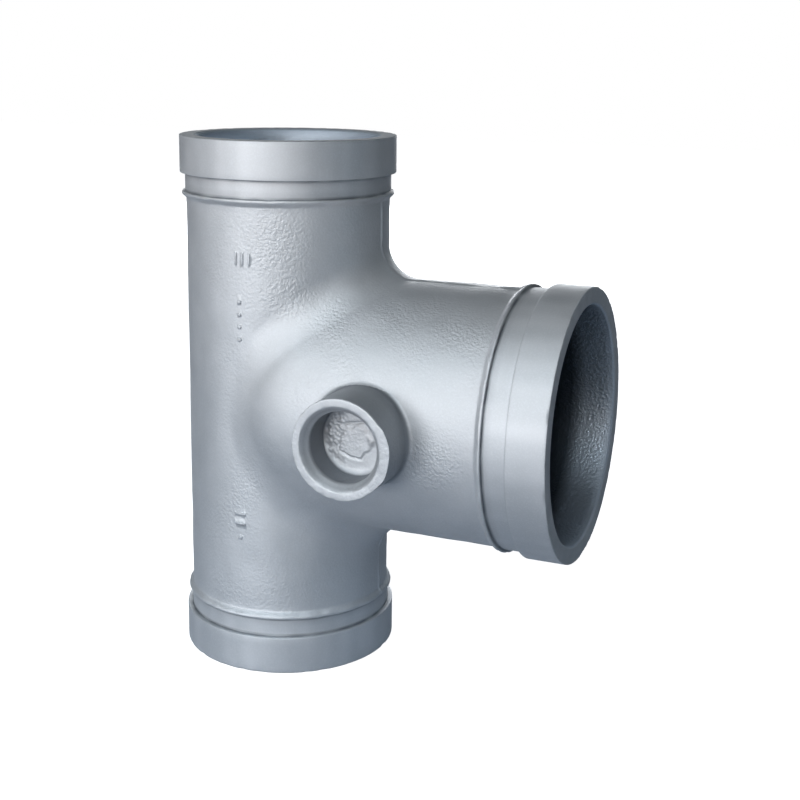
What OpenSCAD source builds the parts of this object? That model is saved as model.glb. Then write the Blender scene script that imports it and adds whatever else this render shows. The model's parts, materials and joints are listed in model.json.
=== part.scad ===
// Grooved tee: a pipe fitting cast in one piece. An upright run has a grooved end at its top and its foot,
// and a wider branch leaves its middle sideways, closed behind by a dome that bulges out of the run's front.
// A blind boss stands on the side of the branch.
// The foot stands on Z = 0 with the run along Z. The branch points along +X and the boss along -Y.

/* [Run] */
// Height of the run, end face to end face
run_h = 216; // [200:1:280]
// Outside diameter of the gasket seats at the ends of the run
run_od = 88.9; // [84:0.1:94]
// Wall of the run between its beads
run_wall = 4.4; // [3.5:0.1:7]
// Width of the grooves in the run
run_groove_w = 7.5; // [6:0.1:10]

/* [Branch] */
// Distance from the axis of the run to the mouth of the branch
branch_reach = 129; // [115:1:170]
// Outside diameter of the gasket seat on the branch
branch_od = 108; // [104:0.1:114.3]
// Wall of the branch between its bead and its dome
branch_wall = 4.6; // [3.5:0.1:7]
// Width of the groove in the branch
branch_groove_w = 9.5; // [7:0.1:11]

/* [Grooved ends] */
// Width of each gasket seat, from the end face to the groove
seat_w = 15.2; // [13:0.1:17]
// Depth of each groove below its gasket seat
groove_depth = 2.1; // [1.4:0.1:2.3]
// How far the plain body lies below the gasket seat
body_drop = 2.45; // [2:0.05:3.2]
// Width of the bead behind each groove
bead_w = 3.4; // [2.5:0.1:5]
// Height of the bead above the plain body
bead_h = 1.7; // [1:0.1:2]
// Rounding of the outer edges of each gasket seat
edge_r = 0.9; // [0.3:0.1:1.3]
// Chamfer inside each mouth
mouth_chamfer = 0.8; // [0.3:0.1:1.5]

/* [Blend of run and branch] */
// Radius of the fillet between the run and the branch, seen from the side
root_fillet = 14.5; // [8:0.5:18]

/* [Boss] */
// Outside diameter of the boss
boss_d = 38.7; // [34:0.1:44]
// Distance from the axis of the run to the axis of the boss
boss_x = 56.2; // [52:0.1:66]
// Distance from the axis of the branch to the face of the boss
boss_reach = 70; // [66:0.5:80]
// Diameter of the socket in the boss
socket_d = 27.2; // [20:0.1:29]
// Depth of the socket below the face of the boss
socket_depth = 15.6; // [8:0.1:17]
// Diameter of the socket's flared mouth
socket_mouth_d = 34.2; // [30:0.1:35]
// Depth of the flared mouth
socket_flare = 2.2; // [0.5:0.1:4]
// Radius of the fillet round the foot of the boss
boss_fillet = 3.5; // [2:0.1:5]

/* [Hidden] */

run_r = run_od / 2 - body_drop;
branch_r = branch_od / 2 - body_drop;
branch_z = run_h / 2;
boss_r = boss_d / 2;
// The dome is centred where it just meets the middle of the run's front
dome_x = sqrt(pow(branch_r, 2) - pow(run_r, 2));

// Points per turn on the exact rounds, on the blended skin and round the boss
turn = 48;
skin_turn = 64;
boss_turn = 40;
// Bands of the blended skin along each leg, and points along each small arc
skin_bands = 10;
arc_steps = 3;
// How far one solid runs into the next, and how far a cut runs past a face
lap = 1.5;
// How far a fillet's edges sink into the surfaces it joins
sink = 0.12;
// How quickly the fillet tightens where run and branch meet at a flat angle
tighten = 0.75;
// Halvings of the search for the skin along a ray
halvings = 24;

// Direction away from the axis of the run, and away from the branch with its dome
function off_run(p) = [p.x, p.y, 0];
function off_branch(p) = [min(p.x - dome_x, 0), p.y, p.z];

// Two distances joined by a round of radius k on their outer side
function round_join(a, b, k) = max(k, min(a, b)) - norm([max(k - a, 0), max(k - b, 0)]);

// How far a point lies outside the blended skin. It is measured from the crossing of the axes of run and branch.
function gap(p) =
    let (u = off_run(p), v = off_branch(p))
    let (turned = 1 - (u * v) / max(norm(u) * norm(v), 0.001))
    round_join(norm(u) - run_r, norm(v) - branch_r, root_fillet * pow(max(turned, 0), tighten));

// Distance along a ray from a point inside the skin to the skin
function reach(from, dir, near = 0, far = run_r + branch_r, n = halvings) =
    let (mid = (near + far) / 2)
    n == 0 ? mid :
    gap(from + mid * dir) < 0 ? reach(from, dir, mid, far, n - 1) : reach(from, dir, near, mid, n - 1);
function on_skin(from, dir) = from + reach(from, dir) * dir;

// The skin is three legs of rings, numbered round from the front. They meet on seams that join a pole on the
// front of the run to one on its back: two slanting seams above and below the branch, and one round the run.
half = skin_turn / 2;
step = 360 / skin_turn;
crotch = root_fillet * (1 - sqrt(0.5));
slant = atan2(branch_r + crotch, run_r + crotch);
function seam_point(i) =
    on_skin([0, 0, 0], [sin(i * step) * cos(slant), -cos(i * step), sin(i * step) * sin(slant)]);
seam = [for (i = [0:half]) seam_point(i)];
function seam_side(i) = seam[i <= half ? i : skin_turn - i];
function flip_z(p) = [p.x, p.y, -p.z];

// Where the rings of a leg lie: one under the bead, then evenly from the start of the blend to the seam
run_top = run_h / 2 - seat_w - run_groove_w - bead_w + lap;
branch_end = branch_reach - seat_w - branch_groove_w - bead_w + lap;
function along(j, last, first, goal) =
    j == 0 ? last : first + (goal - first) * (j - 1) / skin_bands;
function ease(j) = max(j - 1, 0) / skin_bands;

// Ring j of the upper leg, whose far half runs down to the seam round the back of the run
function upper_ring(j) = [for (i = [0:skin_turn - 1])
    let (goal = i <= half ? seam[i] : [0, 0, 0])
    let (bend = i <= half ? atan2(goal.x, -goal.y) : i * step)
    let (az = i * step + (bend - i * step) * ease(j))
    on_skin([0, 0, along(j, run_top, branch_r + root_fillet + lap, goal.z)], [sin(az), -cos(az), 0])];

// Ring j of the branch leg
function branch_ring(j) = [for (i = [0:skin_turn - 1])
    let (goal = seam_side(i))
    let (bend = atan2(goal.z, -goal.y))
    let (up = i <= half ? bend : 360 - bend)
    let (az = i * step + (up - i * step) * ease(j))
    on_skin([along(j, branch_end, run_r + root_fillet + lap, goal.x), 0, 0], [0, -cos(az), sin(az)])];

// Points of the skin: rings of the upper, lower and branch legs, then the seams above, below and round the back
leg = (skin_bands + 1) * skin_turn;
upper_rings = [for (j = [0:skin_bands]) each upper_ring(j)];
back_seam = [for (i = [half + 1:skin_turn - 1]) on_skin([0, 0, 0], [sin(i * step), -cos(i * step), 0])];
skin_points = concat(
    upper_rings,
    [for (p = upper_rings) flip_z(p)],
    [for (j = [0:skin_bands]) each branch_ring(j)],
    seam,
    [for (i = [1:half - 1]) flip_z(seam[i])],
    back_seam);
above = 3 * leg;
below = above + half;
behind = below + half;

// Index of point i on ring j of each leg; the ring after the last is the seam
function wrap(i) = i % skin_turn;
function low_seam(i) = i == 0 || i == half ? above + i : below + i;
function upper_at(j, i) = let (w = wrap(i))
    j <= skin_bands ? j * skin_turn + w : w <= half ? above + w : behind + w - half - 1;
function lower_at(j, i) = let (w = wrap(i))
    j <= skin_bands ? leg + j * skin_turn + w : w <= half ? low_seam(w) : behind + w - half - 1;
function branch_at(j, i) = let (w = wrap(i))
    j <= skin_bands ? 2 * leg + j * skin_turn + w : w <= half ? above + w : low_seam(skin_turn - w);

skin_faces = concat(
    [for (j = [0:skin_bands], i = [0:skin_turn - 1]) each [
        [upper_at(j, i), upper_at(j, i + 1), upper_at(j + 1, i + 1)],
        [upper_at(j, i), upper_at(j + 1, i + 1), upper_at(j + 1, i)],
        [lower_at(j, i), lower_at(j + 1, i + 1), lower_at(j, i + 1)],
        [lower_at(j, i), lower_at(j + 1, i), lower_at(j + 1, i + 1)],
        [branch_at(j, i), branch_at(j + 1, i + 1), branch_at(j, i + 1)],
        [branch_at(j, i), branch_at(j + 1, i), branch_at(j + 1, i + 1)]]],
    [[for (i = [skin_turn - 1:-1:0]) upper_at(0, i)],
     [for (i = [0:skin_turn - 1]) lower_at(0, i)],
     [for (i = [0:skin_turn - 1]) branch_at(0, i)]]);

// The outside of run, dome and branch between the beads, blended into one skin
module blended_skin() {
    polyhedron(points = skin_points, faces = skin_faces, convexity = 6);
}

// Outline of one end, radius against distance from the end face: rounded seat, groove and bead
function arc_points(centre, r, from, to) =
    [for (s = [0:arc_steps]) let (a = from + (to - from) * s / arc_steps) centre + r * [cos(a), sin(a)]];
function end_outline(od, groove_w) =
    let (seat_r = od / 2, body_r = od / 2 - body_drop, groove_r = od / 2 - groove_depth)
    let (bead_z = seat_w + groove_w, crest = body_r + bead_h, lip = bead_w / 4)
    concat(
        [[0, 0]],
        arc_points([seat_r - edge_r, edge_r], edge_r, -90, 0),
        arc_points([seat_r - edge_r, seat_w - edge_r], edge_r, 0, 90),
        [[groove_r, seat_w], [groove_r, bead_z], [crest - lip, bead_z], [crest, bead_z + lip]],
        [for (s = [1:arc_steps]) let (t = s / (arc_steps + 0.5))
            [body_r + bead_h * (1 + cos(180 * t)) / 2, bead_z + lip + (bead_w - lip) * t]],
        [[body_r - lap, bead_z + bead_w], [0, bead_z + bead_w]]);

// One grooved end as a full disc, standing on its end face
module grooved_end(od, groove_w) {
    rotate_extrude($fn = turn) polygon(end_outline(od, groove_w));
}

// The hollow of one end of a leg, with its chamfered mouth; it starts a little outside the end face
module mouth(bore_r, depth) {
    rotate_extrude($fn = turn)
        polygon([[0, -lap], [bore_r + mouth_chamfer + lap, -lap], [bore_r, mouth_chamfer], [bore_r, depth], [0, depth]]);
}

// The hollow of the branch with its dome, from the mouth inwards
module branch_hollow(bore_r) {
    inner = branch_reach - dome_x;
    steps = 2 * arc_steps;
    rotate_extrude($fn = turn)
        polygon(concat(
            [[0, -lap], [bore_r + mouth_chamfer + lap, -lap], [bore_r, mouth_chamfer]],
            [for (s = [0:steps]) let (a = 90 * s / steps) [bore_r * cos(a), inner + bore_r * sin(a)]]));
}

module waterways() {
    run_bore = run_r - run_wall;
    mouth(run_bore, run_h / 2);
    translate([0, 0, run_h]) mirror([0, 0, 1]) mouth(run_bore, run_h / 2 + lap);
    translate([branch_reach, 0, branch_z]) rotate([0, -90, 0]) branch_hollow(branch_r - branch_wall);
}

// Distance from the axis of the branch to the skin, towards the boss, at a place on the boss's plan
function skin_depth(r, az) = reach([boss_x + r * cos(az), 0, r * sin(az)], [0, -1, 0]);

// Section of the fillet round the foot of the boss, as radius and distance from the axis of the branch
function foot_section(az) =
    let (wall = boss_r - sink)
    let (near = skin_depth(wall, az), far = skin_depth(wall + boss_fillet, az))
    let (fall = atan2(near - far, boss_fillet), top = near - sink + boss_fillet * (1 / cos(fall) - tan(fall)))
    let (centre = [wall + boss_fillet, top])
    let (arc = [for (s = [0:2 * arc_steps]) let (a = 180 + (90 - fall) * s / (2 * arc_steps))
        centre + boss_fillet * [cos(a), sin(a)]])
    concat([[wall - lap, top]], arc, [[arc[2 * arc_steps].x, far - lap * 2], [wall - lap, far - lap * 2]]);

module boss_foot() {
    size = 2 * arc_steps + 4;
    points = [for (i = [0:boss_turn - 1]) let (az = 360 * i / boss_turn)
        for (q = foot_section(az)) [boss_x + q.x * cos(az), -q.y, q.x * sin(az)]];
    function at(i, s) = (i % boss_turn) * size + s % size;
    faces = [for (i = [0:boss_turn - 1], s = [0:size - 1]) each [
        [at(i, s), at(i + 1, s + 1), at(i, s + 1)],
        [at(i, s), at(i + 1, s), at(i + 1, s + 1)]]];
    polyhedron(points = points, faces = faces, convexity = 4);
}

// Places a solid that stands on Z = 0 on the face of the boss, reaching back into the branch
module on_boss_face() {
    translate([boss_x, -boss_reach, branch_z]) rotate([-90, 0, 0]) children();
}

module boss() {
    length = boss_reach - (branch_r - branch_wall);
    on_boss_face() rotate_extrude($fn = turn)
        polygon(concat([[0, 0]], arc_points([boss_r - edge_r, edge_r], edge_r, -90, 0), [[boss_r, length], [0, length]]));
    translate([0, 0, branch_z]) boss_foot();
}

module socket() {
    on_boss_face() {
        translate([0, 0, -lap]) cylinder(d = socket_d, h = socket_depth + lap, $fn = turn);
        cylinder(d1 = socket_mouth_d, d2 = socket_d, h = socket_flare, $fn = turn);
    }
}

// The whole fitting, cast as one piece
module tee_body() {
    color("#b4b9bf") difference() {
        union() {
            translate([0, 0, branch_z]) blended_skin();
            grooved_end(run_od, run_groove_w);
            translate([0, 0, run_h]) mirror([0, 0, 1]) grooved_end(run_od, run_groove_w);
            translate([branch_reach, 0, branch_z]) rotate([0, -90, 0]) grooved_end(branch_od, branch_groove_w);
            boss();
        }
        waterways();
        socket();
    }
}

tee_body();
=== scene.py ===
"""Looks of the grooved tee: one iron casting in aluminium paint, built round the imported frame.

Shapes are worked out in millimetres from the point where the axes of run and branch cross, with the run
along Z, the branch along +X and the boss along -Y, and are written into the meshes in metres."""
import json
from types import SimpleNamespace

import bmesh
import bpy
import numpy as np
from mathutils import Matrix, Vector


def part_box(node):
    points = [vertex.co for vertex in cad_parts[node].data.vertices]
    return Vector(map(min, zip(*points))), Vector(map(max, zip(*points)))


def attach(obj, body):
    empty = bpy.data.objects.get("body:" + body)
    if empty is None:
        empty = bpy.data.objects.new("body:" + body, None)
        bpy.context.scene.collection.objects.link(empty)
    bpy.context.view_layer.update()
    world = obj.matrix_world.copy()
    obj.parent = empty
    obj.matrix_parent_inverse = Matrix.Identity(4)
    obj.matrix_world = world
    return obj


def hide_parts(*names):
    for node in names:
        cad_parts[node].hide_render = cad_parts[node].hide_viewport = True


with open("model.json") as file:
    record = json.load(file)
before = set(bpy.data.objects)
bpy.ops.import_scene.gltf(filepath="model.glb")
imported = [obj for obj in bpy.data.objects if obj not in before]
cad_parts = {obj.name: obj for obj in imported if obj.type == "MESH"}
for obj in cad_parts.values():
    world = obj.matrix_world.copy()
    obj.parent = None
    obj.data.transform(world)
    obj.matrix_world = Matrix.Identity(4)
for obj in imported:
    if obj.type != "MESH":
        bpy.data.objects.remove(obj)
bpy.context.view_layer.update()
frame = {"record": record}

# Camera, from the outlines of the three ends in the photograph's 800 x 800 frame
FRAME_PX = 800
FOCAL_PX = 1308.95
CENTRE_PX = (400, 300)
CAMERA_AT = (0.2519, -0.4799, 0.2507)
CAMERA_AZIMUTH = 22.78
CAMERA_ELEVATION = 10.861
CAMERA_ROLL = 0.635
SENSOR_MM = 36

# Sizes in millimetres; the frame and its mounts give those that it knows
MM = 0.001
low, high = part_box("tee_body")
mounts = {m["name"]: m["dims"] for m in frame["record"]["mounts"]}
RUN_HALF = (high.z - low.z) / MM / 2
BRANCH_REACH = high.x / MM
BOSS_REACH = -low.y / MM
RUN_SEAT_R = mounts["lower_end"]["r_mm"]
BRANCH_SEAT_R = mounts["branch_end"]["r_mm"]
SOCKET_R = mounts["boss_socket"]["r_mm"]

# Body: how far its skin lies under the seats, its walls, its blends outside and in the core, and how much a
# blend tightens where the run and the branch part at a small angle
BODY_DROP = 2.45
RUN_WALL = 4.4
BRANCH_WALL = 4.6
ROOT_FILLET = 14.5
CORE_FILLET = 4.0
TIGHTEN = 0.75

# Ends: seat, groove, bead and chamfered mouth, and the bands beside an edge and beside a groove's corner
SEAT_W = 15.2
RUN_GROOVE_W = 7.5
BRANCH_GROOVE_W = 9.5
GROOVE_DEPTH = 2.1
BEAD_W = 3.4
BEAD_H = 1.7
MOUTH_CHAMFER = 0.8
EDGE_BAND = 1.3
CREVICE = 1.2

# Boss, its blind socket with the heel on its floor, and the flash on its rim: how far it stands out, how far
# down it reaches, and the turns in degrees where it starts, is full, begins to fall and ends
BOSS_R = 19.35
BOSS_X = 56.2
BOSS_FILLET = 2.6
BOSS_EDGE = 0.6
SOCKET_DEPTH = 15.6
SOCKET_MOUTH_R = 16.1
SOCKET_FLARE = 3.2
FLOOR_HEEL = 1.3
HEEL_W = 2.2
FLASH = 1.1
FLASH_H = 1.1
FLASH_TURNS = (-52, -20, 30, 36)

RUN_R = RUN_SEAT_R - BODY_DROP
BRANCH_R = BRANCH_SEAT_R - BODY_DROP
RUN_BORE = RUN_R - RUN_WALL
BRANCH_BORE = BRANCH_R - BRANCH_WALL
DOME_X = np.sqrt(BRANCH_R**2 - RUN_R**2)
FLOOR_H = BOSS_REACH - SOCKET_DEPTH
MOUTH_H = BOSS_REACH - SOCKET_FLARE

# Density of the legs: points evenly round each, more beside the mould's seam in degrees from it, rows of the
# blends outside and in the core, the longest plain step, and how far before a blend its rings start
EVEN_TURN = 216
SEAM_TURNS = (-0.9, -0.45, 0.45, 0.9)
SKIN_ROWS = 28
CORE_ROWS = 14
LONGEST_STEP = 3.0
LAP = 1.5
# Density of the boss: points round it, rows under the skin, round its fillet and across its floor, and the
# longest step over its rim; then how deep it closes under the skin and how far its fillet is let into it
BOSS_TURN = 180
UNDER_ROWS = 9
FILLET_ROWS = 13
FLOOR_ROWS = 38
RIM_STEP = 0.9
UNDERCUT = 2
SINK = 0.03
# Points round a tally mark
MARK_TURN = 36


def camera():
    data = bpy.data.cameras.new("camera")
    data.sensor_width = SENSOR_MM
    data.lens = FOCAL_PX * SENSOR_MM / FRAME_PX
    data.shift_x = (FRAME_PX / 2 - CENTRE_PX[0]) / FRAME_PX
    data.shift_y = (CENTRE_PX[1] - FRAME_PX / 2) / FRAME_PX
    data.clip_start = 0.01
    data.clip_end = 50
    az, el, roll = np.radians([CAMERA_AZIMUTH, CAMERA_ELEVATION, CAMERA_ROLL])
    back = Vector((np.sin(az) * np.cos(el), -np.cos(az) * np.cos(el), np.sin(el)))
    right = Vector((np.cos(az), np.sin(az), 0))
    up = back.cross(right)
    right, up = right * np.cos(roll) + up * np.sin(roll), up * np.cos(roll) - right * np.sin(roll)
    eye = bpy.data.objects.new("camera", data)
    eye.matrix_world = Matrix.Translation(CAMERA_AT) @ Matrix((right, up, back)).transposed().to_4x4()
    bpy.context.scene.collection.objects.link(eye)
    bpy.context.scene.camera = eye


def new_object(name, mesh):
    made = bpy.data.objects.new(name, mesh)
    bpy.context.scene.collection.objects.link(made)
    return made


def closed_mesh(name, grids):
    """One closed mesh from grids of points, each rows x columns x 3 in millimetres and closed round its
    columns. Points that meet are merged, which closes seams and poles, and the faces are turned outwards."""
    points, faces, count = [], [], 0
    for grid in grids:
        rows, cols = grid.shape[:2]
        i, j = np.arange(cols), np.arange(rows - 1)[:, None]
        a, b = count + j * cols + i, count + j * cols + (i + 1) % cols
        faces.append(np.stack([a, b, b + cols, a + cols], -1).reshape(-1, 4))
        points.append(grid.reshape(-1, 3))
        count += rows * cols
    at = (np.concatenate(points) + (0, 0, RUN_HALF)) * MM
    mesh = bpy.data.meshes.new(name)
    mesh.from_pydata(at.tolist(), [], np.concatenate(faces).tolist())
    work = bmesh.new()
    work.from_mesh(mesh)
    bmesh.ops.remove_doubles(work, verts=work.verts, dist=1e-7)
    bmesh.ops.recalc_face_normals(work, faces=work.faces)
    work.to_mesh(mesh)
    work.free()
    return mesh


def length(v):
    return np.sqrt((v * v).sum(-1))


def gap(p, run_r, branch_r, fillet):
    """How far points lie outside the blended skin: the distances from the run and from the branch with its
    dome, joined by a round of fillet * (1 - cosine of the angle between their normals) ^ TIGHTEN."""
    off_run = p * (1, 1, 0)
    off_branch = p.copy()
    off_branch[..., 0] = np.minimum(p[..., 0] - DOME_X, 0)
    u, v = length(off_run), length(off_branch)
    turned = 1 - (off_run * off_branch).sum(-1) / np.maximum(u * v, 0.001)
    k = fillet * np.maximum(turned, 0) ** TIGHTEN
    a, b = u - run_r, v - branch_r
    return np.maximum(k, np.minimum(a, b)) - np.hypot(np.maximum(k - a, 0), np.maximum(k - b, 0))


def on_skin(start, way, skin):
    """Where rays from points inside the skin meet it, found by halving each ray's stretch again and again."""
    near = np.zeros(way.shape[:-1])
    far = near + RUN_R + BRANCH_R
    for _ in range(40):
        mid = (near + far) / 2
        inside = gap(start + mid[..., None] * way, *skin) < 0
        near, far = np.where(inside, mid, near), np.where(inside, far, mid)
    return start + mid[..., None] * way


OUTSIDE = (RUN_R, BRANCH_R, ROOT_FILLET)
CORE = (RUN_BORE, BRANCH_BORE, CORE_FILLET)
FLIP = np.array([1, 1, -1])
TURNS = np.radians(np.sort(np.concatenate([
    np.arange(EVEN_TURN) * 360 / EVEN_TURN, np.add(90, SEAM_TURNS), np.add(270, SEAM_TURNS)])))
TURN = len(TURNS)
HALF = TURN // 2
FRONT = np.arange(TURN) <= HALF


def seam_of(skin):
    """The seam that the three legs share: points where rays, fanned out in the slanting plane of the crotch,
    meet the skin, from the front of the run to its back above the branch, then round the back of the run."""
    run_r, branch_r, fillet = skin
    crotch = fillet * (1 - np.sqrt(0.5))
    slant = np.arctan2(branch_r + crotch, run_r + crotch)
    tilt = np.where(FRONT, slant, 0)
    ways = np.stack([np.sin(TURNS) * np.cos(tilt), -np.cos(TURNS), np.sin(TURNS) * np.sin(tilt)], -1)
    return on_skin(np.zeros_like(ways), ways, skin)


def run_blend(skin, rows):
    """Rings of the upper leg from the start of the blend to the seam: height and azimuth run evenly to the
    seam's, and each point is where a level ray from the run's axis meets the skin."""
    seam = seam_of(skin)
    first = skin[1] + skin[2] + LAP
    t = np.linspace(0, 1, rows + 1)[:, None]
    bend = np.where(FRONT, np.arctan2(seam[:, 0], -seam[:, 1]), TURNS)
    az = TURNS + (bend - TURNS) * t
    z = first + (seam[:, 2] - first) * t
    start = np.stack([0 * z, 0 * z, z], -1)
    rings = on_skin(start, np.stack([np.sin(az), -np.cos(az), 0 * z], -1), skin)
    rings[-1] = seam
    return rings, first


def branch_blend(skin, rows):
    """Rings of the branch leg, in the same way, by rays square to the branch's axis."""
    seam = seam_of(skin)
    seam = np.where(FRONT[:, None], seam, seam[(TURN - np.arange(TURN)) % TURN] * FLIP)
    first = skin[0] + skin[2] + LAP
    t = np.linspace(0, 1, rows + 1)[:, None]
    bend = np.arctan2(seam[:, 2], -seam[:, 1]) % (2 * np.pi)
    bend[0] = 0
    az = TURNS + (bend - TURNS) * t
    x = first + (seam[:, 0] - first) * t
    start = np.stack([x, 0 * x, 0 * x], -1)
    rings = on_skin(start, np.stack([0 * x, -np.cos(az), np.sin(az)], -1), skin)
    rings[-1] = seam
    return rings, first


def unit(v):
    return v / np.maximum(length(v), 1e-9)[..., None]


def rounded(corners, steps=3):
    """Outline through corners (radius, setback, cut). Each corner inside it gives way to a parabola that
    starts and ends cut away from it: (1-t)^2 a + 2t(1-t) c + t^2 b. A corner with no cut stays one point."""
    at = np.array([c[:2] for c in corners], float)
    t = np.linspace(0, 1, steps + 1)[:, None]
    made = [at[:1]]
    for before, c, after, (_, _, cut) in zip(at, at[1:], at[2:], corners[1:]):
        a, b = c + cut * unit(before - c), c + cut * unit(after - c)
        s = t if cut else t[:1]
        made.append((1 - s) ** 2 * a + 2 * s * (1 - s) * c + s**2 * b)
    return np.concatenate([*made, at[-1:]])


def refined(outline, longest):
    """The outline with each step longer than the given length cut into equal ones."""
    made = [outline[:1]]
    for a, b in zip(outline, outline[1:]):
        n = max(1, int(np.ceil(length(b - a) / longest)))
        made.append(a + (b - a) * np.linspace(0, 1, n + 1)[1:, None])
    return np.concatenate(made)


def end_outline(seat_r, groove_w, bore, start, stop):
    """Radius and setback from the end face along one end: plain body, a bead that rises as a half cosine and
    falls steeply, groove, seat, end face, chamfered mouth and bore, each edge with its own small cut."""
    body, crest, groove = seat_r - BODY_DROP, seat_r - BODY_DROP + BEAD_H, seat_r - GROOVE_DEPTH
    bead = SEAT_W + groove_w
    t = np.linspace(1, 0, 9)[:, None]
    rise = np.hstack([body + BEAD_H * (1 + np.cos(np.pi * t)) / 2, bead + BEAD_W * (0.25 + 0.75 * t)])
    edges = rounded([
        (crest, bead + BEAD_W / 4, 0), (crest, bead, 0.6), (groove, bead, 0.4),
        (groove, bead - CREVICE, 0), (groove, SEAT_W + CREVICE, 0), (groove, SEAT_W, 0.3),
        (seat_r, SEAT_W, 0.35), (seat_r, EDGE_BAND, 0), (seat_r, 0, 0.4), (seat_r - EDGE_BAND, 0, 0),
        (bore + MOUTH_CHAMFER, 0, 0.3), (bore, MOUTH_CHAMFER, 0.3), (bore, stop, 0)])
    return refined(np.concatenate([[[body, start]], rise, edges[1:]]), LONGEST_STEP)


def tee_grids():
    """The three legs, each a grid of rings from the outer seam to the end face and back in to the core's."""
    skin, skin_first = run_blend(OUTSIDE, SKIN_ROWS)
    core, core_first = run_blend(CORE, CORE_ROWS)
    outline = end_outline(RUN_SEAT_R, RUN_GROOVE_W, RUN_BORE, RUN_HALF - skin_first, RUN_HALF - core_first)
    r, s = outline.T[..., None]
    rings = np.stack([r * np.sin(TURNS), -r * np.cos(TURNS), RUN_HALF - s + 0 * TURNS], -1)
    upper = np.concatenate([skin[:0:-1], rings, core[1:]])
    skin, skin_first = branch_blend(OUTSIDE, SKIN_ROWS)
    core, core_first = branch_blend(CORE, CORE_ROWS)
    outline = end_outline(BRANCH_SEAT_R, BRANCH_GROOVE_W, BRANCH_BORE, BRANCH_REACH - skin_first,
                          BRANCH_REACH - core_first)
    r, s = outline.T[..., None]
    rings = np.stack([BRANCH_REACH - s + 0 * TURNS, -r * np.cos(TURNS), r * np.sin(TURNS)], -1)
    return [upper, upper * FLIP, np.concatenate([skin[:0:-1], rings, core[1:]])]


# Socket floor, across and up from its middle: a plateau with its radius and rise, the score round it, a
# tongue with its half width and half height, a crack with its ends, and grains
PLATEAU_AT = (-0.3, -1.1)
PLATEAU_R = 6.3
PLATEAU_RISE = 0.45
SCORE_DEPTH = 0.55
TONGUE_AT = (6.6, 0.6)
TONGUE_HALF = (1.6, 3.4)
CRACK_ENDS = (-3.9, 4.2)
CRACK_UP = 6.3
CRACK_SLOPE = 0.17
CRACK_DEPTH = 0.5
GRAIN_RISE = 0.13


def floor_relief(u, v):
    """Height of the rough floor of the socket over its plane, u across and v up: a smooth plateau left where
    the sand core broke away, its edge wavering by three sines, scored round its lower left, a tongue beside
    it, a crack above it, and grains on the left. It falls to nothing at the wall."""
    across, up = u - PLATEAU_AT[0], v - PLATEAU_AT[1]
    a = np.arctan2(up, across)
    edge = PLATEAU_R + 0.5 * np.sin(2 * a + 0.6) + 0.4 * np.sin(5 * a + 1.9) + 0.25 * np.sin(9 * a)
    off = np.hypot(across, up) - edge
    height = PLATEAU_RISE / (1 + np.exp(off / 0.25))
    height -= SCORE_DEPTH * np.clip(0.2 + np.cos(a + 2.0), 0, 1) * np.exp(-(((off - 0.4) / 0.4) ** 2))
    lean = v - TONGUE_AT[1] - 0.2 * u
    tongue = np.hypot((u - TONGUE_AT[0]) / TONGUE_HALF[0], lean / TONGUE_HALF[1])
    height += PLATEAU_RISE / (1 + np.exp((tongue - 1) / 0.16))
    along = np.clip(u, *CRACK_ENDS)
    off_crack = (u - along) ** 2 + (v - CRACK_UP - CRACK_SLOPE * along) ** 2
    height -= CRACK_DEPTH * np.exp(-(off_crack / 0.35**2))
    flat = np.stack([u, v, 0 * u], -1)
    height += GRAIN_RISE * field(flat, 1.9, 9) * np.clip((-3.0 - u) / 3, 0.06, 1) + 0.06 * field(flat, 7, 10)
    return height * np.clip((SOCKET_R - 0.5 - np.hypot(u, v)) / 0.8, 0, 1)


def floor_heel(a, r, h):
    """Height of the heel left at the foot of the socket's wall, below and a little left: full over part of
    the turn, falling as a square towards the middle, and fading up the wall to the mouth."""
    heel = FLOOR_HEEL * np.clip((np.cos(a + 1.75) - 0.3) / 0.4, 0, 1)
    heel = heel * (1 - np.clip((SOCKET_R - r) / HEEL_W, 0, 1)) ** 2
    return heel * (1 - np.clip((h - FLOOR_H) / (MOUTH_H - FLOOR_H), 0, 1))


def rim_flash(a, r, h):
    """How far the thin flash stands out on the right of the boss's rim: full over its turns, wavering by a
    sine, and fading down the wall and in towards the mouth."""
    turn = np.degrees((a + np.pi) % (2 * np.pi) - np.pi)
    flash = FLASH * np.interp(turn, FLASH_TURNS, (0, 1, 1, 0), 0, 0)
    flash = flash * (1 + 0.15 * np.sin(9 * a))
    return flash * np.clip(1 - (BOSS_REACH - h) / FLASH_H, 0, 1) * np.clip((r - SOCKET_MOUTH_R) / 2, 0, 1)


def boss_foot(a):
    """Rows of radius and height of the boss, from its axis out below the skin, up the fillet and up the wall.
    The fillet is an arc that touches the wall and the skin's own slope at each place."""

    def skin_height(r):
        start = np.stack([BOSS_X + r * np.cos(a), 0 * a, r * np.sin(a)], -1)
        return -on_skin(start, np.broadcast_to((0.0, -1.0, 0.0), start.shape), OUTSIDE)[..., 1]

    foot_r = BOSS_R + BOSS_FILLET
    by_wall, by_foot = skin_height(BOSS_R + 0 * a), skin_height(foot_r + 0 * a)
    fall = np.arctan2(by_wall - by_foot, BOSS_FILLET)
    top = by_wall - SINK + BOSS_FILLET * (1 / np.cos(fall) - np.tan(fall))
    rows = [(r + 0 * a, skin_height(r + 0 * a) - UNDERCUT) for r in np.linspace(0, foot_r, UNDER_ROWS)]
    rows.append((foot_r + 0 * a, by_foot - 0.5))
    for s in np.linspace(1, 0, FILLET_ROWS):
        turn = np.pi + (np.pi / 2 - fall) * s
        rows.append((foot_r + BOSS_FILLET * np.cos(turn), top + BOSS_FILLET * np.sin(turn)))
    for s in (0.3, 0.65):
        rows.append((BOSS_R + 0 * a, top + (BOSS_REACH - BOSS_EDGE - top) * s))
    return rows


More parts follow.
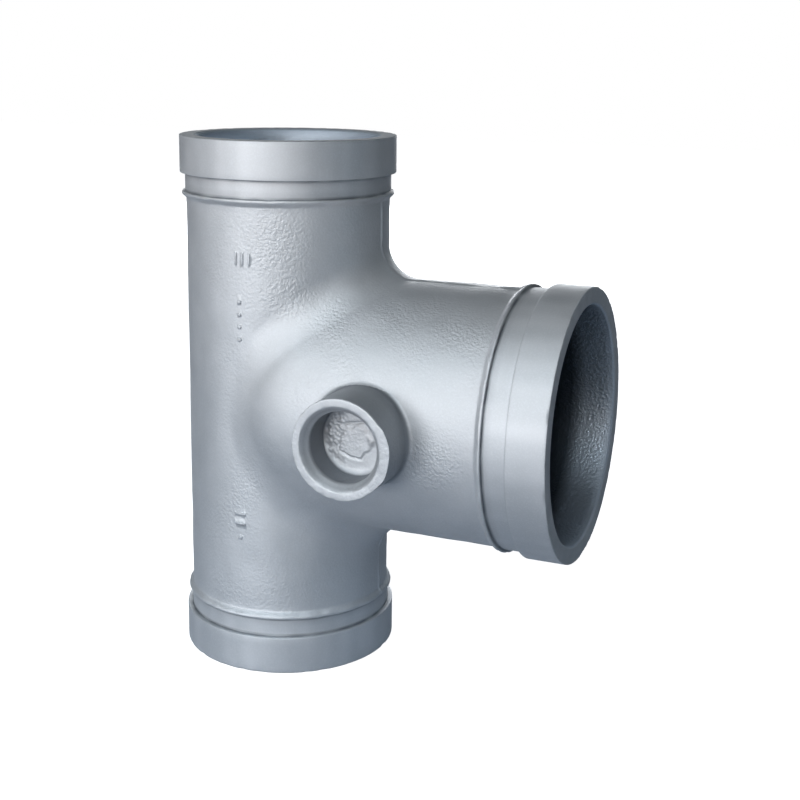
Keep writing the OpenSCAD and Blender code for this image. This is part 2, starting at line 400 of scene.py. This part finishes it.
def boss_grid():
    """The boss as one profile carried round its axis, with heights from the branch's axis: its foot, the rim,
    and down the flare and the socket to the middle of its floor."""
    a = np.arange(BOSS_TURN) * 2 * np.pi / BOSS_TURN
    rows = boss_foot(a)
    outside = len(rows)
    rim = rounded([
        (BOSS_R, BOSS_REACH - 2, 0), (BOSS_R, BOSS_REACH, BOSS_EDGE), (SOCKET_MOUTH_R, BOSS_REACH, 0.5),
        (SOCKET_R, MOUTH_H, 0.5), (SOCKET_R, FLOOR_H, 0.4), (SOCKET_R - 1, FLOOR_H, 0)])
    rows += [(r + 0 * a, h + 0 * a) for r, h in refined(rim, RIM_STEP)]
    rows += [(r + 0 * a, FLOOR_H + 0 * a) for r in np.linspace(SOCKET_R - 1, 0, FLOOR_ROWS)[1:]]
    r, h = np.array(rows).transpose(1, 0, 2)
    r = r + rim_flash(a, r, h)
    u, v = r * np.cos(a), r * np.sin(a)
    within = (r < SOCKET_R + 0.01) & (np.arange(len(r)) > outside)[:, None]
    h = h + np.where(within, floor_relief(u, v) + floor_heel(a, r, h), 0)
    return np.stack([BOSS_X + u, -h, v], -1)


def pad_grid(azimuth, z, half_w, half_h, rise, square):
    """A plain raised pad on the front of the run: a superellipse of the given half width and height, domed by
    1 - rho^6, and closed a little under the skin."""
    a = np.arange(MARK_TURN) * 2 * np.pi / MARK_TURN
    c, s = np.cos(a), np.sin(a)
    c, s = np.sign(c) * abs(c) ** (2 / square), np.sign(s) * abs(s) ** (2 / square)
    rho = np.array([0, 0.4, 0.7, 0.84, 0.92, 0.97, 1.0, 1.03, 1.03, 0])[:, None]
    lift = np.append(rise * (1 - np.minimum(rho[:-3], 1) ** 6), [-0.1, -0.6, -0.6])[:, None]
    az = np.radians(azimuth) + half_w * rho * c / RUN_R
    r = RUN_R + lift
    return np.stack([r * np.sin(az), -r * np.cos(az), z + half_h * rho * s + 0 * r], -1)


# Plain tally bars and pips on the front of the run: azimuth, height, half width, half height, squareness
TALLY = [(-2, 62, 0.55, 2.6, 5), (2, 62, 0.55, 2.6, 5), (6, 62, 0.55, 2.6, 5)]
TALLY += [(0, 45 - 5 * n, 0.9, 0.9, 2) for n in range(4)]
TALLY += [(-1, -42, 2.6, 0.55, 5), (-1, -46, 2.6, 0.55, 5), (-1, -52, 0.9, 0.9, 2)]
TALLY_RISE = 0.5


def joined(name, first, others):
    """The union of closed meshes as one closed mesh."""
    made = new_object(name, first)
    for mesh in others:
        other = new_object("cutter", mesh)
        union = made.modifiers.new("union", "BOOLEAN")
        union.operation = "UNION"
        union.solver = "MANIFOLD"
        union.object = other
        graph = bpy.context.evaluated_depsgraph_get()
        result = bpy.data.meshes.new_from_object(made.evaluated_get(graph))
        made.modifiers.clear()
        made.data = result
        bpy.data.objects.remove(other)
    return made


# Cosines in each random field
WAVES = 28


def field(points, wavelength, seed):
    """Smooth random field with mean 0 and spread 1: a sum of cosines along seeded directions, with
    wavelengths down to 1 / 1.7 and up to 1 / 0.6 of the one given."""
    draw = np.random.default_rng(seed)
    ways = unit(draw.normal(size=(WAVES, 3))) * 2 * np.pi / wavelength * draw.uniform(0.6, 1.7, (WAVES, 1))
    return np.sqrt(2 / WAVES) * np.cos(points @ ways.T + draw.uniform(0, 2 * np.pi, WAVES)).sum(-1)


def read_points(mesh, what="vertices", key="co"):
    values = np.zeros(len(getattr(mesh, what)) * 3)
    getattr(mesh, what).foreach_get(key, values)
    return values.reshape(-1, 3)


# Places on the skin where the sand left it roughest: x, y, z, radius and strength
ROUGH = [(14, -39, 68, 20, 1.5), (18, -38, 48, 16, 1.5), (38, -37, 37, 20, 1.1), (61, -28, 43, 18, 0.9),
         (86, -33, 40, 15, 0.8), (84, -51, -9, 17, 1.8), (46, -44, 24, 14, 0.8)]
# Nicks in the edge of the branch's mouth: y, z, radius and depth
NICKS = [(-52.4, -13.1, 3.2, 0.65), (-51.4, 16.7, 2.8, 0.4), (-46, -28, 3.0, 0.3)]
# How deep the skin lies under the solid's, in millimetres: a film everywhere, broad waves, ripples, uneven
# beads, worn lips of the ends with their reach, and worn edges of the boss; then the mould's seam, a ridge
FILM = 0.03
WAVE_DEPTH = 0.055
RIPPLE_DEPTH = 0.02
BEAD_DEPTH = 0.14
LIP_DEPTH = 0.15
LIP_REACH = 0.9
BOSS_EDGES = ((BOSS_R, 0.13), (SOCKET_MOUTH_R, 0.09))
SEAM_RISE = 0.5
SEAM_HALF_W = 0.75
# Painted shade in the waterway: how far from the end face it starts to darken, over what length it does,
# and how dark the branch's is from the start
DARK_FROM = 9
BRANCH_DARK = 0.45
# Strength of the painted shade: the socket's wall, the boss's edge, foot and flare, the grooves' corners and
# what is left of it beside the branch's seat; then how much darker the end faces of run and branch are made
WALL_SHADE = 0.7
EDGE_SHADE = 0.45
FOOT_SHADE = 0.35
FLARE_SHADE = 0.25
CORNER_SHADE = 0.85
BRANCH_CORNER = 0.4
RUN_FACE_DARKENING = 0.5
BRANCH_FACE_DARKENING = 0.25


def near(distance, reach):
    """1 at no distance, falling evenly to 0 at the reach."""
    return np.clip(1 - distance / reach, 0, 1)


def survey(mesh):
    """Where each point of the casting lies: its place p, whether it is out on the branch, its setback from
    the end face, where the bead starts, its distance r from that leg's axis and the seat's radius there, how
    much it is as cast (0 on the ends, 1 beyond the bead), how much it is core (1 on the waterway's wall), how
    far it is outside the plain skin, and its distance from the boss's axis."""
    p = read_points(mesh) / MM - (0, 0, RUN_HALF)
    x, y, z = p.T
    out = x > RUN_SEAT_R + ROOT_FILLET / 2
    setback = np.where(out, BRANCH_REACH - x, RUN_HALF - abs(z))
    bead = SEAT_W + np.where(out, BRANCH_GROOVE_W, RUN_GROOVE_W)
    return SimpleNamespace(
        p=p, out=out, setback=setback, bead=bead,
        r=np.where(out, np.hypot(y, z), np.hypot(x, y)),
        seat_r=np.where(out, BRANCH_SEAT_R, RUN_SEAT_R),
        cast=np.clip((setback - bead) / 2, 0, 1),
        core=near(gap(p, *CORE), 1.0),
        outside=gap(p, *OUTSIDE),
        off_boss=np.hypot(x - BOSS_X, z))


def wear(at):
    """How deep the skin lies under the solid's: the film, the waves and ripples of a hand-rammed mould,
    uneven beads, and worn and nicked edges. The mould's seam stands out, in the plane of the axes."""
    y, z = at.p[:, 1], at.p[:, 2]
    depth = FILM + WAVE_DEPTH * np.clip(at.cast, 0.12, 1) * np.clip(1.5 + field(at.p, 22, 3), 0, 3)
    depth += RIPPLE_DEPTH * at.cast * np.clip(1.5 + field(at.p, 7, 4), 0, 3)
    on_bead = near(abs(at.setback - at.bead - BEAD_W / 3), BEAD_W / 1.5)
    depth += BEAD_DEPTH * on_bead * np.clip(0.6 + field(at.p, 7, 5), 0, 2.5)
    lip = near(np.hypot(at.setback, at.seat_r - at.r), LIP_REACH)
    depth += LIP_DEPTH * lip * np.clip(field(at.p, 5, 6) - 0.2, 0, 2)
    for nick_y, nick_z, reach, deep in NICKS:
        depth += deep * lip * near(np.hypot(y - nick_y, z - nick_z), reach)
    for edge_r, deep in BOSS_EDGES:
        lip = near(np.hypot(BOSS_REACH + y, edge_r - at.off_boss), LIP_REACH)
        depth += deep * lip * np.clip(field(at.p, 3.5, 7) - 0.1, 0, 2)
    seam = near(abs(y), SEAM_HALF_W) * (at.outside > -0.5)
    return depth - SEAM_RISE * seam * at.cast * np.clip(0.8 + 0.35 * field(at.p, 9, 8), 0.2, 1.3)


def roughness(at):
    """How rough the skin is, from 0 to 1: a little all over, most in the rough places, hardly on the ends."""
    rough = np.clip(0.3 + 0.14 * field(at.p, 30, 11), 0.12, 0.6)
    for *centre, reach, strength in ROUGH:
        rough = np.maximum(rough, strength * near(length(at.p - centre), reach))
    rough = np.clip(rough, 0, 1) * np.clip(at.cast, 0.05, 1)
    return np.maximum(rough, at.core * np.where(at.out, 0.6, 0.3))


def painted_boss_shade(at):
    """Painted shade on the boss: its socket's wall, its outer edge, its foot and its flare, but none on the
    rim.
    """
    y = at.p[:, 1]
    wall = near(abs(at.off_boss - SOCKET_R), 0.5) * np.clip((MOUTH_H + y) / 2, 0, 1)
    foot = near(abs(at.off_boss - BOSS_R - 0.8), 2) * near(abs(at.outside - 0.8), 2.2)
    flare = near(abs(at.off_boss - (SOCKET_R + SOCKET_MOUTH_R) / 2), 1.3)
    shade = EDGE_SHADE * near(abs(at.off_boss - BOSS_R), 1.4) + FOOT_SHADE * foot + FLARE_SHADE * flare
    shade = shade * np.clip((BOSS_REACH + y - 0.5) / 0.7, 0, 1)
    return np.maximum(WALL_SHADE * wall, shade) * (-y > BRANCH_R - 3)


def painted_groove_shade(at):
    """Painted shade in the two corners of each groove, fainter beside the branch's seat and none in the
    waterway.
    """
    sunk = at.seat_r - GROOVE_DEPTH - at.r
    by_seat = near(np.hypot(at.setback - SEAT_W, sunk), CREVICE) * np.where(at.out, BRANCH_CORNER, 1)
    by_bead = near(np.hypot(at.setback - at.bead, sunk), 1.2 * CREVICE)
    shade = CORNER_SHADE * np.maximum(by_seat, by_bead) * (1 - at.core)
    return shade * np.clip(0.85 + 0.15 * field(at.p, 12, 13), 0.5, 1)


def paint_marks(at):
    """What the paint reads at each point, by name: how rough the skin is, how much it is core, how deep the
    painted shade is (inwards along the waterway, on the boss and in the grooves' corners) and how much darker
    the end faces are made, how much it is end face or chamfer, and how the seats are streaked, in a field that
    runs along the leg unchanged."""
    chamfer = near(at.setback - MOUTH_CHAMFER, MOUTH_CHAMFER)
    face = np.where(at.r < at.seat_r - 2, chamfer, near(at.setback, 0.45))
    # Painted shade: the waterway darkens inwards from the mouth, the branch's from its start
    inwards = at.core * np.clip((at.setback - DARK_FROM) / DARK_FROM, np.where(at.out, BRANCH_DARK, 0), 1)
    # The end faces are made darker
    on_face = face * np.where(at.out, BRANCH_FACE_DARKENING, RUN_FACE_DARKENING)
    round_leg = at.p * np.where(at.out[:, None], (0, 1, 1), (1, 1, 0))
    return {
        "rough": roughness(at),
        "core": at.core,
        # deep: painted shade, with the darkening of the end faces
        "deep": np.maximum.reduce([inwards, painted_boss_shade(at), painted_groove_shade(at), on_face]),
        "face": face,
        "streak": 0.5 + 0.22 * field(round_leg, 12, 12) * (1 - at.cast)}


def weather(mesh):
    """Moves each point in along its normal by its wear, and stores with the points what the paint reads."""
    at = survey(mesh)
    normals = read_points(mesh, "vertex_normals", "vector")
    mesh.vertices.foreach_set("co", (read_points(mesh) - normals * (wear(at) * MM)[:, None]).ravel())
    for name, values in paint_marks(at).items():
        mesh.attributes.new(name, "FLOAT", "POINT").data.foreach_set("value", values)
    mesh.update()


camera()
marks = [closed_mesh("mark", [pad_grid(*place, TALLY_RISE, square)]) for *place, square in TALLY]
body = joined("casting", closed_mesh("casting", tee_grids()), [closed_mesh("boss", [boss_grid()]), *marks])
weather(body.data)
body.data.shade_smooth()
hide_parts("tee_body")
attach(body, "root")


class Shader:
    """Short hand for a node tree: each call adds a node, sets its inputs and gives back one of its outputs."""

    def __init__(self, tree):
        self.tree = tree
        tree.nodes.clear()

    def add(self, kind, inputs=None, output=0, **settings):
        node = self.tree.nodes.new(kind)
        for key, value in settings.items():
            setattr(node, key, value)
        for key, value in (inputs or {}).items():
            if isinstance(value, bpy.types.NodeSocket):
                self.tree.links.new(value, node.inputs[key])
            else:
                node.inputs[key].default_value = value
        return node.outputs[output] if node.outputs else None

    def stored(self, name):
        return self.add("ShaderNodeAttribute", output=2, attribute_name=name)

    def math(self, operation, *values):
        return self.add("ShaderNodeMath", dict(enumerate(values)), operation=operation)

    def noise(self, vector, scale, detail, roughness, distortion=0.0):
        return self.add("ShaderNodeTexNoise", {"Vector": vector, "Scale": scale, "Detail": detail,
                                               "Roughness": roughness, "Distortion": distortion})

    def span(self, value, low, high, to_low=0.0, to_high=1.0):
        return self.add("ShaderNodeMapRange", {"Value": value, "From Min": low, "From Max": high,
                                               "To Min": to_low, "To Max": to_high})

    def blend(self, factor, a, b):
        node = self.tree.nodes.new("ShaderNodeMix")
        node.data_type = "RGBA"
        self.tree.links.new(factor, node.inputs["Factor"])
        for key, value in ((6, a), (7, b)):
            if isinstance(value, bpy.types.NodeSocket):
                self.tree.links.new(value, node.inputs[key])
            else:
                node.inputs[key].default_value = (*value, 1)
        return node.outputs[2]


# Paint: darker and lighter tones at the foot and at the top of the run, the foot's bluer as a painted cool
# light from below, the heights in metres between which they change, the flakes, the lining of the waterway,
# brighter and bluer as a painted sheen, the colour that painted shade blends to, and the skin's depth in
# metres
FOOT_TONES = ((0.594, 0.624, 0.66), (0.674, 0.699, 0.735))
TOP_TONES = ((0.624, 0.625, 0.636), (0.704, 0.70, 0.71))
FOOT_Z, TOP_Z = 0.02, 0.2
FLAKES = (0.80, 0.82, 0.85)
PAINTED_LINING_SHEEN = (0.80, 0.89, 1.0)
PAINTED_SHADE = (0.036, 0.05, 0.07)
PEEL_DEPTH = 0.00016
# Scales of its noises: clouds, the peel of its skin, and the grain of its flakes
CLOUDS = 38
PEEL = 880
GRAIN = 1500
# How metallic it is, its roughness between the clouds and in them, and what the waterway and the end faces
# add to that
METALLIC = 0.85
ROUGHNESS = (0.58, 0.66)
LINING_ROUGHNESS = -0.17
FACE_ROUGHNESS = 0.34


def silver_paint():
    """Aluminium paint over a sand casting: soft metallic sheen, cloudy colour that goes from bluish at the
    foot to neutral at the top as a painted cool light from below, streaks along the seats, a lining that
    shines more and is painted brighter and bluer as a sheen, end faces that shine less and are darker, painted
    shade where the mesh stores it, and an orange-peel skin that follows the stored roughness."""
    material = bpy.data.materials.new("silver_paint")
    material.use_nodes = True
    s = Shader(material.node_tree)
    at = s.add("ShaderNodeTexCoord", output=3)
    core, face = s.stored("core"), s.stored("face")
    clouds = s.noise(at, CLOUDS, 3, 0.6)
    peel = s.span(s.noise(at, PEEL, 1.5, 0.5, 0.2), 0.3, 0.7)
    grain = s.noise(at, GRAIN, 2, 0.6)
    fine = s.math("MULTIPLY", grain, s.span(core, 0, 1, 0.12, 0.5))
    height = s.math("ADD", s.math("MULTIPLY", peel, s.stored("rough")), fine)
    bump = s.add("ShaderNodeBump", {"Height": height, "Strength": 1.0, "Distance": PEEL_DEPTH})
    streaks = s.span(s.stored("streak"), 0.0, 1.0, -0.6, 0.6)
    shade = s.math("ADD", s.span(clouds, 0.35, 0.7, 0.0, 0.8), streaks)
    # Painted cool light from below: the paint is bluer towards the foot and neutral at the top of the run
    up = s.span(s.add("ShaderNodeSeparateXYZ", {0: at}, output=2), FOOT_Z, TOP_Z, 0, 1)
    colour = s.blend(up, s.blend(shade, *FOOT_TONES), s.blend(shade, *TOP_TONES))
    colour = s.blend(s.span(grain, 0.45, 0.75, 0, 0.25), colour, FLAKES)
    # Painted sheen: the lining is brighter and bluer than the paint, for the bluish shine inside the waterway
    colour = s.blend(s.math("MULTIPLY", core, 0.9), colour, PAINTED_LINING_SHEEN)
    # Painted shade: the stored deep mark blends the paint towards near black, and darkens the end faces
    colour = s.blend(s.math("MULTIPLY", s.stored("deep"), 0.9), colour, PAINTED_SHADE)
    lining = s.math("MULTIPLY", core, LINING_ROUGHNESS)
    dull = s.math("ADD", s.span(clouds, 0.3, 0.7, *ROUGHNESS), lining)
    dull = s.math("ADD", dull, s.math("MULTIPLY", face, FACE_ROUGHNESS))
    shader = s.add("ShaderNodeBsdfPrincipled", {"Base Color": colour, "Metallic": METALLIC, "Roughness": dull,
                                                "Normal": bump})
    s.add("ShaderNodeOutputMaterial", {"Surface": shader})
    return material


body.data.materials.clear()
body.data.materials.append(silver_paint())

# Studio: a pale floor, a white background that is seen but doesn't light, and soft lamps
AMBIENT = (0.02, 0.021, 0.024)
BEHIND = (-np.sin(np.radians(CAMERA_AZIMUTH)), np.cos(np.radians(CAMERA_AZIMUTH)), 0)
# Floor in metres: half its side, its height, the colour that it throws on the fitting, and the distances
# between which its glow rises, with the glow at each
FLOOR_HALF = 3.0
FLOOR_Z = -0.0001
FLOOR_BOUNCE = (0.16, 0.222, 0.305)
GLOW = (0.5, 1.5, 0.86, 1.0)


def seen(s, glossy):
    """How much each ray sees the white background: fully from the camera or through glass, and the given
    share of it in gloss."""
    path = s.tree.nodes.new("ShaderNodeLightPath").outputs
    return s.math("MAXIMUM", s.math("MAXIMUM", path["Is Camera Ray"], path["Is Transmission Ray"]),
                  s.math("MULTIPLY", path["Is Glossy Ray"], glossy))


def surroundings():
    """White behind the object, and a dim even room elsewhere."""
    world = bpy.data.worlds.new("studio")
    bpy.context.scene.world = world
    world.use_nodes = True
    s = Shader(world.node_tree)
    way = s.add("ShaderNodeTexCoord")
    facing = s.add("ShaderNodeVectorMath", {0: way, 1: BEHIND}, output=1, operation="DOT_PRODUCT")
    screen = s.span(facing, 0.94, 0.97)
    room = s.add("ShaderNodeBackground", {"Color": (*AMBIENT, 1), "Strength": 1.0})
    white = s.add("ShaderNodeBackground", {"Color": (1, 1, 1, 1), "Strength": 1.0})
    mix = s.add("ShaderNodeMixShader", {0: seen(s, screen), 1: room, 2: white})
    s.add("ShaderNodeOutputWorld", {"Surface": mix})


def floor():
    """A pale floor that glows a little for the camera, more so far off, where it runs into the white."""
    mesh = bpy.data.meshes.new("floor")
    corners = [(FLOOR_HALF * i, FLOOR_HALF * j, FLOOR_Z) for i, j in ((-1, -1), (1, -1), (1, 1), (-1, 1))]
    mesh.from_pydata(corners, [], [(0, 1, 2, 3)])
    ground = new_object("floor", mesh)
    material = bpy.data.materials.new("floor")
    material.use_nodes = True
    s = Shader(material.node_tree)
    plain = s.add("ShaderNodeBsdfDiffuse", {"Color": (*FLOOR_BOUNCE, 1)})
    lit = s.add("ShaderNodeBsdfDiffuse", {"Color": (0.9, 0.9, 0.9, 1)})
    at = s.add("ShaderNodeTexCoord", output=3)
    reach = s.add("ShaderNodeVectorMath", {0: at}, output=1, operation="LENGTH")
    glow = s.add("ShaderNodeEmission", {"Color": (1, 1, 1, 1), "Strength": s.span(reach, *GLOW)})
    white = s.add("ShaderNodeAddShader", {0: lit, 1: glow})
    mix = s.add("ShaderNodeMixShader", {0: seen(s, 0.1), 1: plain, 2: white})
    s.add("ShaderNodeOutputMaterial", {"Surface": mix})
    mesh.materials.append(material)


# What the lamps face, and the lamps: azimuth (0 in front, 90 at +X) and elevation in degrees, distance,
# width and height in metres, watts and colour
AIM = (0.03, 0, 0.11)
WARM, PLAIN, COOL, SKY = (1, 0.97, 0.945), (0.95, 0.975, 1), (0.81, 0.93, 1), (0.6, 0.82, 1)
LAMPS = {
    "low": (-17, 2.5, 1.4, 0.5, 0.3, 5.6, PLAIN),
    "front": (11, 19, 1.4, 0.45, 0.9, 3.9, WARM),
    "left": (-35, 19, 1.4, 0.6, 0.9, 2.1, WARM),
    "far_left": (-62, 8, 1.4, 0.6, 0.9, 1.15, PLAIN),
    "high_right": (13, 42, 1.4, 0.5, 0.5, 4.8, COOL),
    "high_left": (-35, 42, 1.4, 0.5, 0.5, 3.0, COOL),
    "window": (86, 5, 1.4, 0.7, 0.4, 0.9, SKY),
    "top": (0, 82, 1.4, 0.8, 0.8, 0.3, COOL),
    "back": (165, 30, 1.6, 1.0, 0.8, 1.4, COOL),
    "behind": (-157, 8, 1.6, 1.0, 0.5, 12.0, PLAIN),
}


def lamp(name, azimuth, elevation, distance, width, height, watts, colour):
    """A soft lamp that faces the fitting from the given direction."""
    data = bpy.data.lights.new(name, "AREA")
    data.shape = "RECTANGLE"
    data.size = width
    data.size_y = height
    data.energy = watts
    data.color = colour
    az, el = np.radians([azimuth, elevation])
    way = Vector((np.sin(az) * np.cos(el), -np.cos(az) * np.cos(el), np.sin(el)))
    made = bpy.data.objects.new(name, data)
    made.location = Vector(AIM) + way * distance
    made.rotation_euler = way.to_track_quat("Z", "Y").to_euler()
    bpy.context.scene.collection.objects.link(made)


surroundings()
floor()
for name, values in LAMPS.items():
    lamp(name, *values)
bpy.context.scene.view_settings.view_transform = "Standard"
